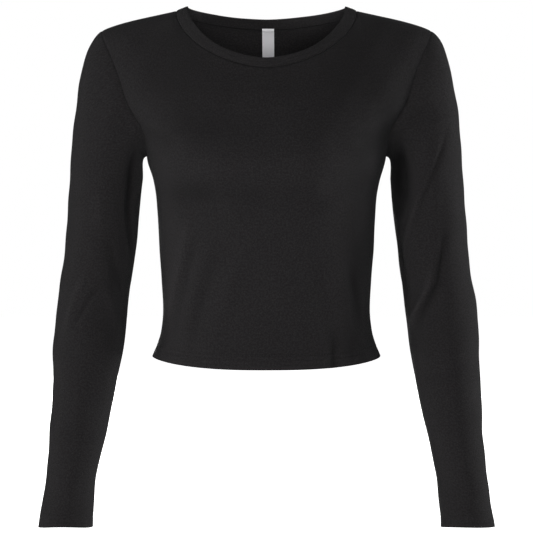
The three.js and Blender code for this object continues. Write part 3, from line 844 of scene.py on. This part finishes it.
rightFolds = [
    (9, -2.6, (98, -104), (112, -135), (130, -160)),
    # along the inside of the upper arm
    (4.6, -4.2, (127, -166), (133, -205), (136, -250), (150, -286), (168, -328)),
    (6, 3.4, (153, -170), (158, -238)),
    # elbow
    (6, -1.9, (106, -284), (119, -318), (135, -344), (152, -372)),
    (5, 1.7, (78, -322), (70, -348), (59, -380), (50, -400)),
    (4, -1.8, (104, -344), (91, -358), (75, -384), (66, -400)),
    (6, 1.8, (112, -350), (129, -370), (158, -414)),
    (12, -1.1, (96, -380), (118, -396), (140, -412)),
    (8, 1.2, (80, -228), (96, -280)),
    (8, -0.7, (24, -521), (100, -528), (166, -532)),
    (8, 0.6, (24, -540), (150, -546)),
    # behind
    (7, -3.8, (196, -302), (228, -312), (266, -330)),
    (7, 3.0, (196, -324), (232, -334), (276, -350)),
    (6, -4.2, (190, -350), (226, -366), (262, -378)),
    (7, -2.6, (200, -394), (226, -404), (256, -416)),
    (7, -3.0, (220, -166), (246, -206), (270, -240)),
    (7, -2.6, (284, -118), (256, -144), (230, -170)),
    (8, -1.6, (206, -484), (246, -498), (290, -508)),
]

# Painted shade on the sleeves under the armpit and along the inner arm, as for the body but by
# degrees round
leftPaintedShade = [(152, -174, 22, 42, -0.85), (162, -226, 15, 38, -0.6)]
rightPaintedShade = [(134, -215, 7, 60, -0.3)]
sleeve = {
    "cuffRise": 2.4,  # how much shorter the cuff is at its front
    "cuffReach": 45,
    "radius": 44,  # turns the folds' degrees into lengths round the sleeve
    "wave": 0.8,
    "waveCalm": 30,
}


def makeSleeve(name, hand, folds, paintedShade, phase):
    angle, firstZ, cuffZ = sleeveAngles, arm["z"][-1], arm["z"][0]
    t = np.concatenate([[0], edgeSteps / 90, np.linspace(0.065, 1, 56)])
    hemPlaces = nearPlaces(cuffStitch["rows"], 0.9) + [0, 0.5, 1.2, 2.4, 4, 6, 8, 10]
    hem = cuffZ + np.array(sorted(hemPlaces, reverse=True))
    z = np.concatenate([np.linspace(firstZ - 2.2, hem[0] + 1.2, 186), hem])
    lower = sleevePoint(angle[None, :], z[:, None])
    grid = relax(np.concatenate([capGrid(angle, t, capPlaces), lower]), True)
    turn = np.radians(angle)[None, :]
    nearCuff = np.clip(1 - (grid[..., 2] - cuffZ) / sleeve["cuffReach"], 0, 1) ** 2
    lift = sleeve["cuffRise"] * np.maximum(np.sin(turn), 0) ** 2 + 0.3 * np.sin(3 * turn + phase)
    grid[..., 2] += nearCuff * lift
    normals, gridZ = gridNormals(grid, True), grid[..., 2]
    down = arcs(grid, 0)
    fromCuff = down[-1:] - down
    perDegree = math.radians(sleeve["radius"])
    flat = [(width, deep, *((a * perDegree, z) for a, z in path)) for width, deep, *path in folds]
    rowShare = np.concatenate([t * 9, np.full(len(z), 9)])[:, None]
    calm = smoothStep(rowShare, 1, 4)
    # Folds shape the sleeve, and their second result is painted shade in creases and painted light on
    # ridges
    depth, paintedShadingRise = (part * calm for part in foldDepth(flat, angle[None, :] * perDegree, gridZ))
    paintedShadingRise = paintedShadingRise + paintedShadingAt(paintedShade, angle[None, :], gridZ)
    wave = unevenness(40 * np.cos(turn), gridZ, phase)
    wave = wave + unevenness(40 * np.sin(turn), gridZ, phase + 2)
    depth = depth + sleeve["wave"] * wave * smoothStep(down, 0, sleeve["waveCalm"])
    aroundArc = arcs(np.concatenate([grid, grid[:, :1]], 1), 1)
    underarm = np.argmin(np.abs(angle - 180))
    fromUnderarm = np.abs(aroundArc[:, :-1] - aroundArc[:, underarm, None])
    # The seams and the cuff's stitch rows sink, with painted shade in the seam grooves
    sewn = np.maximum(bump(down, seam["width"]), 0.8 * bump(fromUnderarm, seam["width"]))
    depth, paintedShadingRise = dented(depth, paintedShadingRise, seam["dentAndPaintedShade"], sewn)
    for place in cuffStitch["rows"]:
        line = bump(fromCuff - place, cuffStitch["width"])
        depth, paintedShadingRise = dented(depth, paintedShadingRise, cuffStitch["dentAndPaintedShade"], line)
    outer = grid + normals * depth[..., None]
    inHem = fromCuff < body["hemDepth"] - 1
    inner = outer - normals * np.where(inHem, hemThickness, clothThickness)[..., None]
    inner[0] = outer[0] + mitre
    for sheet in (outer, inner, normals):
        sheet[..., 0] *= hand
    across = aroundArc - aroundArc[:, -1:] / 2
    if hand < 0:
        grids = (outer, inner, normals, paintedShadingRise, fromCuff)
        outer, inner, normals, paintedShadingRise, fromCuff = (part[:, ::-1] for part in grids)
        across = -across[:, ::-1]
        across = np.concatenate([across[:, 1:], across[:, 1:2] + aroundArc[:, -1:]], 1)
    obj = sheetMesh(name, outer, inner, across, fromCuff, materials["jersey"], True, paintedShadingRise)
    return obj, outer, normals, fromCuff


sleeves = {
    "left": makeSleeve("cloth_sleeve_left", 1, leftFolds, leftPaintedShade, 0.9),
    "right": makeSleeve("cloth_sleeve_right", -1, rightFolds, rightPaintedShade, 3.3),
}

print("stage: neckband")

band = {
    "width": 14.5,
    "frontShare": 0.81,  # of the width, in the middle of the front
    "sideShare": 1.08,  # and along the sides of the neck
    "thickness": 2.5,
    "proud": 0.45,
    "crown": 0.25,
    "groove": (0.1, 0.9, 0.9),  # place, width and depth, beside the neck seam
    "ripples": ((0.18, 23.0, 0.6), (0.12, 9.7, 0)),  # height, length and start
    "stand": math.radians(8),
    "stitchRows": (2.6, 8.2),
    "stitchDepth": 0.28,
}


# The neck seam as one closed loop of places and normals of the body
def neckLoop(count):
    share, near = body["neckShare"], 0.5
    v = np.linspace(-1, 1, count + 1)
    loop, normal = [], []
    for side, order in (("front", 1), ("back", -1)):
        u = np.sign(v) * np.abs(v) * share * order
        x, z = topEdge(side, np.minimum(np.abs(u), share - 1e-9))
        depth = bodyDepth(side, x, z)
        acrossSlope = (bodyDepth(side, x + near, z) - bodyDepth(side, x - near, z)) / (2 * near)
        upSlope = (bodyDepth(side, x, z + near) - bodyDepth(side, x, z - near)) / (2 * near)
        n = np.stack([-acrossSlope, np.full_like(x, facing[side]), -upSlope], -1)
        ridge = (shoulderAt(x + near) - shoulderAt(x - near)) / (2 * near)
        flat = np.stack([-ridge, np.zeros_like(x), np.ones_like(x)], -1)
        n = mix(unit(n), unit(flat), smoothStep(np.abs(v), 0.93, 1.0)[:, None])
        n[:, 0] *= np.where(u < 0, -1, 1)
        p = np.stack([x * np.where(u < 0, -1, 1), facing[side] * depth, z], -1)
        loop.append(p[:-1])
        normal.append(n[:-1])
    return np.concatenate(loop), unit(np.concatenate(normal))


def evenLoop(loop, normal, spacing):
    loop, normal = (np.concatenate([part, part[:1]]) for part in (loop, normal))
    arc = arcs(loop, 0)
    places = np.linspace(0, arc[-1], int(arc[-1] / spacing) + 1)[:-1]
    loop, normal = rowsAt(places, arc, loop), rowsAt(places, arc, normal)
    for _ in range(6):
        normal = unit(normal + np.roll(normal, 1, 0) + np.roll(normal, -1, 0))
    return loop, normal, places


ringSpacing = 2.0


# Places, outward normals, ways across the band and lengths along the neck seam
def bandFrame(values):
    loop, normal, places = evenLoop(*neckLoop(400), ringSpacing)
    up = unit(np.cross(normal, unit(np.roll(loop, -1, 0) - np.roll(loop, 1, 0))))
    share = mix(values["frontShare"], values["sideShare"], smoothStep(loop[:, 2], -68, -32))
    share = mix(share, 1.0, smoothStep(loop[:, 1], -5, 35))
    return loop, normal, up * share[:, None], places


def bandPoint(frameOf, values, across, out):
    loop, normal, up, _ = frameOf
    across, out = np.asarray(across)[:, None, None], np.asarray(out)[:, None, None]
    stand = values["stand"]
    return loop + up * across * math.cos(stand) + normal * (out + across * math.sin(stand))


def makeBand(values):
    frameOf = bandFrame(values)
    width, thick, proud = values["width"], values["thickness"], values["proud"]
    edge = thick / 2
    nearStitches = nearPlaces(values["stitchRows"], 0.8)
    across = np.array(sorted({0.2, 0.7, 1.3, *nearStitches, 5.4, 10.5, 12, 12.8}))
    face = proud + values["crown"] * np.sin(math.pi * across / width)
    groovePlace, grooveWidth, grooveDepth = values["groove"]
    face = face - grooveDepth * bump(across - groovePlace, grooveWidth)
    for place in values["stitchRows"]:
        face = face - values["stitchDepth"] * bump(across - place, 0.7)
    turn = np.radians(np.linspace(75, -75, 9))
    foldAcross = width - edge + edge * np.cos(turn)
    foldOut = proud - edge + edge * np.sin(turn)
    back = proud - thick - 0.15 * np.sin(math.pi * across / width) + 0.35 * bump(across - 0.1, 1.2)
    sectionAcross = np.concatenate([across, foldAcross, across[::-1]])
    sectionOut = np.concatenate([face, foldOut, back[::-1]])
    rings = bandPoint(frameOf, values, sectionAcross, sectionOut)
    ripple = sum(high * np.sin(frameOf[3] / long + start) for high, long, start in values["ripples"])
    rings = rings + frameOf[1] * ripple[:, None] * smoothStep(sectionAcross, 1, width)[:, None, None]
    sides, count = rings.shape[:2]
    k, j = np.meshgrid(np.arange(sides), np.arange(count))
    ringOf = np.stack([j, j + 1, j + 1, j], -1).reshape(-1, 4)
    sideOf = np.stack([k, k, k + 1, k + 1], -1).reshape(-1, 4)
    faces = ringOf % count * sides + sideOf % sides
    sectionArc = arcs(np.stack([sectionAcross, sectionOut], -1), 0)
    sectionArc = np.append(sectionArc, sectionArc[-1] + ringSpacing)
    lengths = np.append(frameOf[3], frameOf[3][-1] + ringSpacing)
    uv = np.stack([lengths[ringOf], sectionArc[sideOf]], -1)
    # The band's inside gets the reverse's paler tone and its painted light
    rise = np.tile(np.where(np.arange(sides) > len(across) + 5, reversePaleAndPaintedLightRise, 0.0), count)
    points = rings.transpose(1, 0, 2).reshape(-1, 3)
    return makeCloth("cloth_neckband", points, faces, uv, materials["band"], rise, 60), frameOf


neckband, bandFrameOf = makeBand(band)

print("stage: label")

label = {
    "width": 15,
    "length": 43.5,  # as it hangs, from top to bottom
    "thickness": 0.5,
    "shift": 2,
    "rise": 2,
    "clear": 0.7,
    "curl": 1.6,
    "bow": 0.5,
    "lean": 0.5,
}


def makeLabel(values):
    _, outer, normals, _ = panels["back"]
    middle = outer.shape[1] // 2
    column, normal = outer[:, middle], normals[:, middle]
    down = np.linspace(values["length"], 0, 42)
    z = body["neckZ"]["back"] + values["rise"] - down
    at, n = rowsAt(z, column[:, 2], column), rowsAt(z, column[:, 2], normal)
    at[:, 2] = z
    x = np.linspace(0.5, -0.5, 16) * values["width"]
    share = down / values["length"]
    away = clothThickness + values["clear"] + values["curl"] * share**2
    bow = values["bow"] * np.cos(math.pi * x / values["width"])[None, :] * share[:, None]
    base = at[:, None, :] * np.array((0, 1, 1)) - n[:, None, :] * (away[:, None] + bow)[..., None]
    base[..., 0] = values["shift"] + x[None, :] + values["lean"] * share[:, None]
    inward = base - gridNormals(base) * values["thickness"]
    across, along = np.broadcast_arrays(x[None, :], -down[:, None])
    return sheetMesh("cloth_label", base, inward, across, along, materials["satin"])


labelCloth = makeLabel(label)

print("stage: stitches")

stitch = {"length": 2.2, "pitch": 2.9, "radius": 0.2, "lift": 0.06, "seed": 7}


# Lays short threads end to end along the edges of a mesh
def makeStitchTree():
    tree = bpy.data.node_groups.new("stitchRow", "GeometryNodeTree")
    kinds = {"Geometry": "Geometry", "Pitch": "Float", "Length": "Float", "Radius": "Float"}
    for name, kind in {**kinds, "Seed": "Int", "Thread": "Material"}.items():
        tree.interface.new_socket(name, in_out="INPUT", socket_type="NodeSocket" + kind)
    tree.interface.new_socket("Geometry", in_out="OUTPUT", socket_type="NodeSocketGeometry")
    given = tree.nodes.new("NodeGroupInput").outputs
    line = addNode(tree, "GeometryNodeMeshToCurve", {"Mesh": given["Geometry"]})
    inputs = {"Curve": line.outputs["Curve"], "Length": given["Pitch"]}
    spaced = addNode(tree, "GeometryNodeResampleCurve", inputs, mode="LENGTH")
    tangent = addNode(tree, "GeometryNodeInputTangent").outputs[0]
    turned = addNode(tree, "FunctionNodeAlignRotationToVector", {"Vector": tangent}, axis="Z")
    thread = addNode(tree, "GeometryNodeMeshUVSphere", {"Segments": 8, "Rings": 7, "Radius": 1})
    half = calc(tree, "MULTIPLY", given["Length"], 0.5)
    size = addNode(tree, "ShaderNodeCombineXYZ", {0: given["Radius"], 1: given["Radius"], 2: half})
    inputs = {2: 0.88, 3: 1.1, "Seed": given["Seed"]}
    vary = addNode(tree, "FunctionNodeRandomValue", inputs, data_type="FLOAT")
    place = addNode(tree, "GeometryNodeInstanceOnPoints", {
        "Points": spaced.outputs["Curve"],
        "Instance": thread.outputs["Mesh"],
        "Rotation": turned.outputs["Rotation"],
        "Scale": vectorCalc(tree, "SCALE", {0: size.outputs[0], "Scale": vary.outputs[1]}),
    })
    real = addNode(tree, "GeometryNodeRealizeInstances", {"Geometry": place.outputs["Instances"]})
    smooth = addNode(tree, "GeometryNodeSetShadeSmooth", {"Geometry": real.outputs["Geometry"]})
    inputs = {"Geometry": smooth.outputs["Geometry"], "Material": given["Thread"]}
    paint = addNode(tree, "GeometryNodeSetMaterial", inputs)
    addNode(tree, "NodeGroupOutput", {"Geometry": paint.outputs["Geometry"]})
    return tree


stitchTree = makeStitchTree()


# Each path is a list of points in millimetres; the threads of all the paths become one plain mesh
def makeStitches(name, paths, values, closed=False):
    points, edges = [], []
    for path in paths:
        start = len(points)
        points += (np.asarray(path) / 1000).tolist()
        edges += [(start + k, start + k + 1) for k in range(len(path) - 1)]
        if closed:
            edges.append((start + len(path) - 1, start))
    guide = bpy.data.meshes.new(name + "_guide")
    guide.from_pydata(points, edges, [])
    obj = addObject(name, guide)
    modifier = obj.modifiers.new("stitches", "NODES")
    modifier.node_group = stitchTree
    inputs = {size.capitalize(): values[size] / 1000 for size in ("pitch", "length", "radius")}
    inputs.update({"Seed": values["seed"], "Thread": materials["thread"]})
    for socket in stitchTree.interface.items_tree:
        if socket.in_out == "INPUT" and socket.name in inputs:
            modifier[socket.identifier] = inputs[socket.name]
    graph = bpy.context.evaluated_depsgraph_get()
    mesh = bpy.data.meshes.new_from_object(obj.evaluated_get(graph))
    mesh.name = name
    # The guide's empty slot comes out, so that only the thread's is left
    mesh.materials.pop(index=0)
    obj.modifiers.clear()
    obj.data = mesh
    bpy.data.meshes.remove(guide)
    return obj


# A line along a grid at a distance from its lowest or last row, just above the cloth
def lineAt(outer, normals, distance, place):
    columns = []
    for j in range(outer.shape[1]):
        order = np.argsort(distance[:, j])
        d = distance[order, j]
        p, n = rowsAt(place, d, outer[order, j]), rowsAt(place, d, normals[order, j])
        columns.append(p + stitch["lift"] * n)
    return columns


stitches = {}
for side in ("front", "back"):
    lines = [lineAt(*panels[side][1:], place)[2:-2] for place in hemStitch["rows"]]
    stitches[side] = makeStitches(f"stitches_hem_{side}", lines, stitch)
for hand in ("left", "right"):
    lines = [lineAt(*sleeves[hand][1:], place) for place in cuffStitch["rows"]]
    stitches[hand] = makeStitches(f"stitches_cuff_{hand}", lines, stitch, closed=True)
lines = []
for place in band["stitchRows"]:
    out = band["proud"] + band["crown"] * math.sin(math.pi * place / band["width"])
    lines.append(bandPoint(bandFrameOf, band, [place], [out - band["stitchDepth"] / 2])[0])
stitches["neckband"] = makeStitches("stitches_neckband", lines, stitch, closed=True)

print("stage: frame")


def dress(obj, node, parts=()):
    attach(obj, "root")
    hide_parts(node)
    for part in parts:
        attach(part, "root")


for side in ("front", "back"):
    cloth, rows = panels[side][0], [stitches[side]]
    dress(cloth, side, rows)
for hand in ("left", "right"):
    cloth, rows = sleeves[hand][0], [stitches[hand]]
    dress(cloth, f"sleeve_{hand}", rows)
rows = [stitches["neckband"]]
dress(neckband, "neckband", rows)
dress(labelCloth, "label")

print("stage: studio")

studio = {
    "world": 0.06,
    "floorZ": -1.25,
    "floorReach": 9,
    "floorColour": (0.88, 0.88, 0.88, 1),
    "floorGlow": (0.45, 1.0),  # in the middle, and far away, where it meets the white backdrop
    "glowReach": (0.8, 2.9),
}
# Each light's place, size and power
lights = {
    "key": ((-5.2, -4.6, -0.6), 2.4, 205),
    "front": ((0.5, -6.6, -0.2), 2.4, 242),
    "right": ((6.0, 1.8, -0.2), 2.2, 245),
    "left": ((-6.2, -0.3, -0.2), 2.2, 90),
    "top": ((0.0, -0.6, 2.4), 1.6, 4),
    "back": ((-1.0, 6.4, 0.2), 2.4, 200),
}
lightTarget = (0, 0, -0.3)


def seenByCamera(tree):
    return addNode(tree, "ShaderNodeLightPath").outputs["Is Camera Ray"]


# The backdrop is white to look at, and lights the cloth more softly than that
def makeBackdrop(values):
    world = bpy.data.worlds.new("studio")
    world.use_nodes = True
    tree = world.node_tree
    strength = calc(tree, "MULTIPLY_ADD", seenByCamera(tree), 1 - values["world"], values["world"])
    feed(tree, tree.nodes["Background"], {0: (1, 1, 1, 1), 1: strength})
    bpy.context.scene.world = world
    bpy.context.scene.view_settings.view_transform = "Standard"


def makeLight(name, place, size, power):
    data = bpy.data.lights.new(name, "AREA")
    data.shape, data.size, data.energy = "DISK", size, power
    aimAt(addObject(name, data), place, lightTarget)


def makeFloor(values):
    material, tree, shader = newMaterial("floor")
    level = vectorCalc(tree, "MULTIPLY", {0: objectPlace(tree), 1: (1, 1, 0)})
    far = vectorCalc(tree, "LENGTH", {0: level}, "Value")
    glow = mapped(tree, far, *values["glowReach"], *values["floorGlow"])
    feed(tree, shader, {
        "Base Color": values["floorColour"],
        "Roughness": 1,
        "Specular IOR Level": 0,
        "Emission Color": (1, 1, 1, 1),
        "Emission Strength": calc(tree, "MULTIPLY", glow, seenByCamera(tree)),
    })
    reach, z = values["floorReach"], values["floorZ"]
    mesh = bpy.data.meshes.new("floor")
    corners = [(-reach, -reach, z), (reach, -reach, z), (reach, reach, z), (-reach, reach, z)]
    mesh.from_pydata(corners, [], [(0, 1, 2, 3)])
    mesh.materials.append(material)
    addObject("floor", mesh)


makeBackdrop(studio)
for name, light in lights.items():
    makeLight(name, *light)
makeFloor(studio)

print("stage: done")
